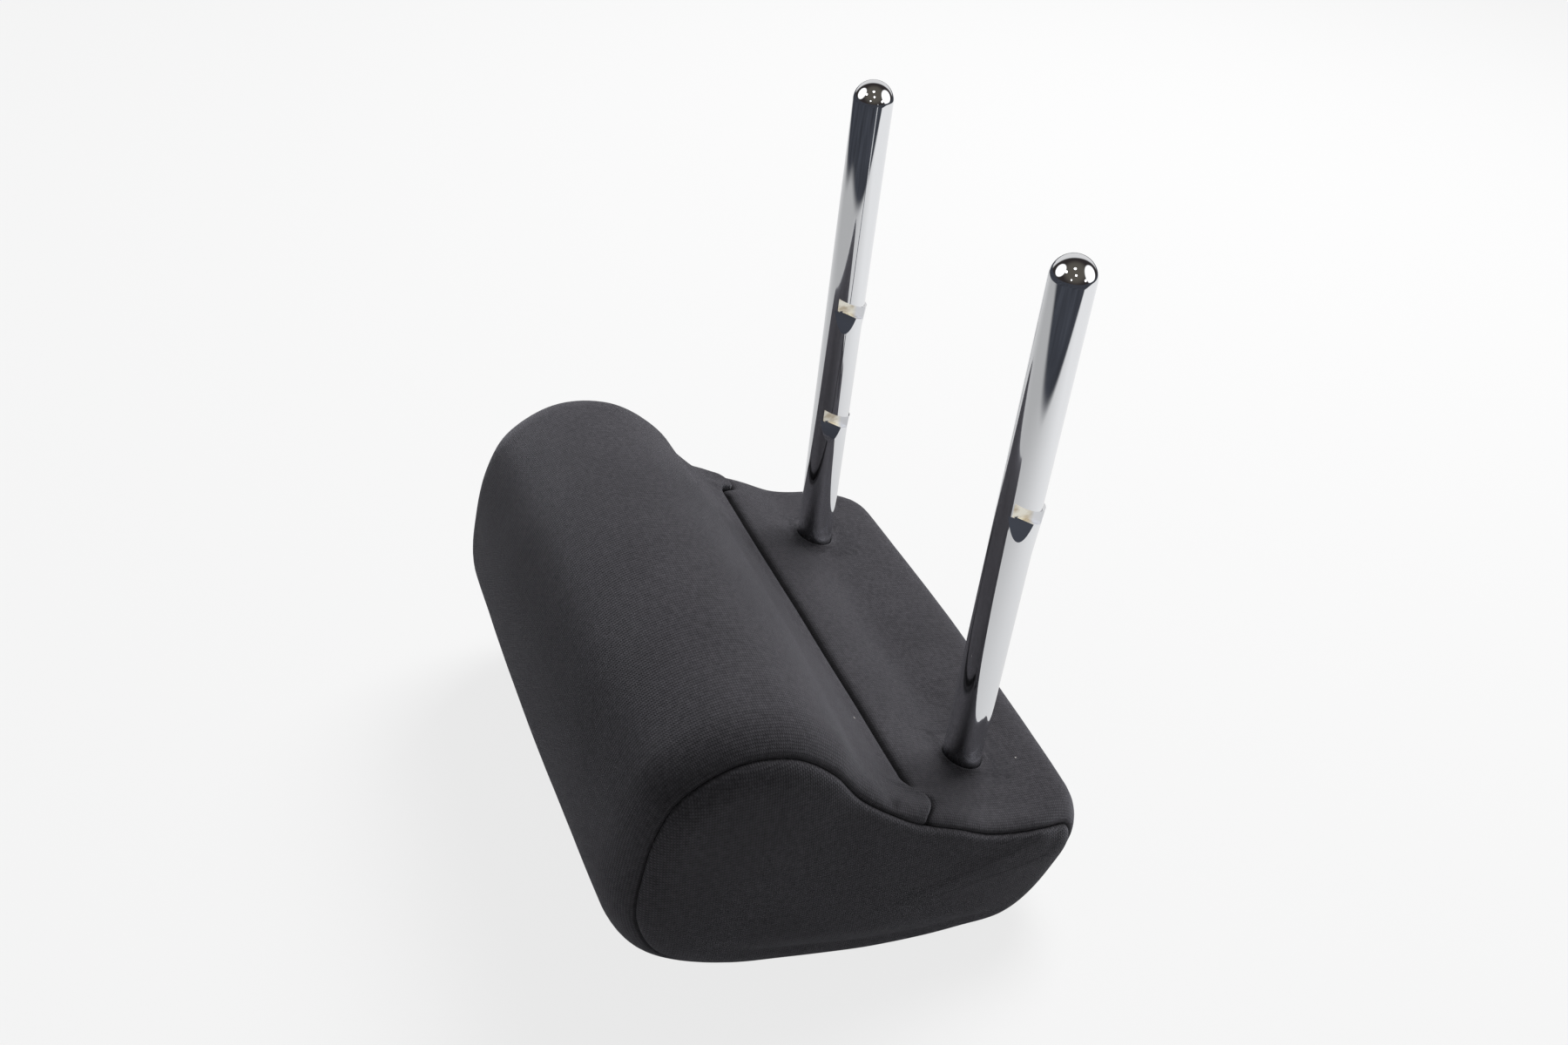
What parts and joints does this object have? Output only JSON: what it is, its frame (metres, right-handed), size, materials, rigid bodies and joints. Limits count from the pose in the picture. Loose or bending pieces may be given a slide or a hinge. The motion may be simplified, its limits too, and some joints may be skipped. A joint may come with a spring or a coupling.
{
  "type": "car headrest",
  "caption": "Low rear-seat headrest lying on its crown: cloth-covered foam pad with a front roll, on a bent steel bar whose chromed posts are notched for height.",
  "frame": {"origin": "on the flat of the crown, which rests on the floor, midway between the two posts and on the line of their axes", "axes": "+Z along the posts, out of the pad; -Y is the face for the head; X runs across the seat, from post to post"},
  "size_m": [0.213, 0.1754, 0.247],
  "materials": {
    "post_chrome": "bright chrome plate, bare steel in the notches",
    "frame_steel": "plain drawn wire and pressed sheet",
    "pad_foam": "moulded soft foam, inside the cover",
    "cover_cloth": "charcoal fine knitted cloth on a thin foam backing",
    "strip_plastic": "black extruded and moulded plastic"
  },
  "bodies": {
    "root": {"post_bar": "post_chrome", "roll_wire": "frame_steel", "support_plate": "frame_steel", "foam_pad": "pad_foam", "cover_wrap_panel": "cover_cloth", "cover_end_panel_left": "cover_cloth", "cover_end_panel_right": "cover_cloth", "hook_strip_roll": "strip_plastic", "hook_strip_base": "strip_plastic", "post_seal_left": "strip_plastic", "post_seal_right": "strip_plastic"}
  },
  "joints": []
}
